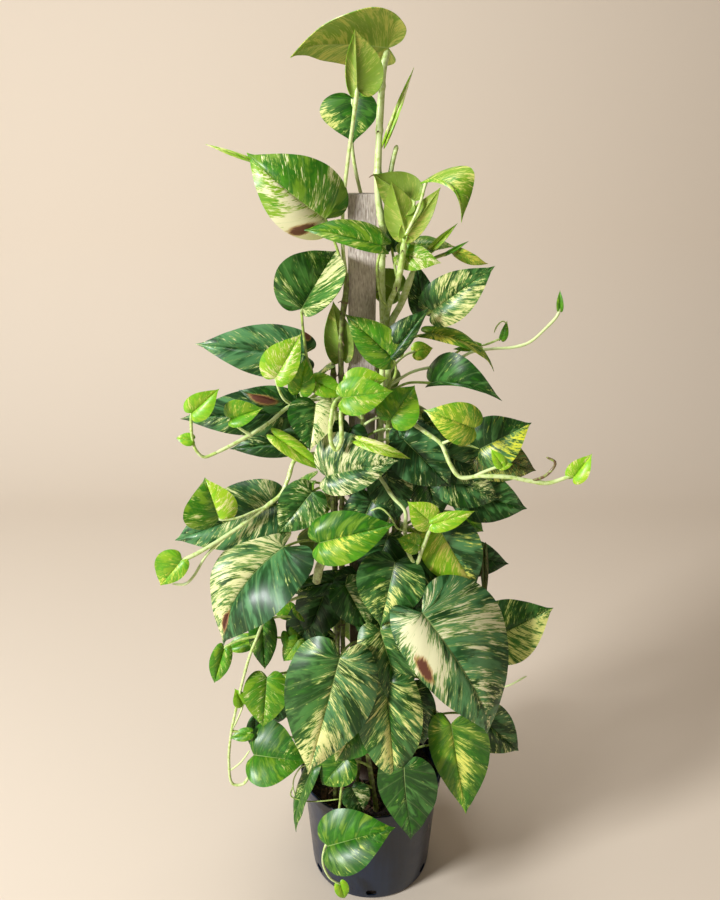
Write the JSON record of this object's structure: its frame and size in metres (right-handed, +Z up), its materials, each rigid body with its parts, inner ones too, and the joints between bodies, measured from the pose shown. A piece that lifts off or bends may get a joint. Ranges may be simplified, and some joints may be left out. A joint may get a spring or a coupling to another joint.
{
  "type": "potted climbing plant",
  "caption": "Golden pothos trained up a wooden stake in a round nursery pot: variegated heart-shaped leaves on several stems, with long leafless runners.",
  "frame": {"origin": "centre of the pot's foot, on the surface that the pot stands on", "axes": "+Z up along the stake, -Y towards the side that the picture shows, +X to that side's right"},
  "size_m": [0.6518, 0.4327, 1.4834],
  "materials": {
    "pot": "dark slate-grey thermoformed plastic, satin gloss",
    "soil": "potting mix with bark chips, rough",
    "stake": "weathered grey sawn plank",
    "leaf": "glossy waxy leaves, dark green to lime with cream and yellow variegation"
  },
  "bodies": {
    "root": {"pot": "pot", "soil": "soil", "stake": "stake", "vine_crown": "leaf", "vine_upper_left": "leaf", "vine_upper_right": "leaf", "vine_centre": "leaf", "vine_mid_right": "leaf", "vine_mid_left": "leaf", "vine_low_left": "leaf", "vine_low_front": "leaf", "vine_low_right": "leaf", "vine_side_right": "leaf", "vine_back_right": "leaf", "vine_back_left": "leaf", "vine_side_left": "leaf"}
  },
  "joints": []
}
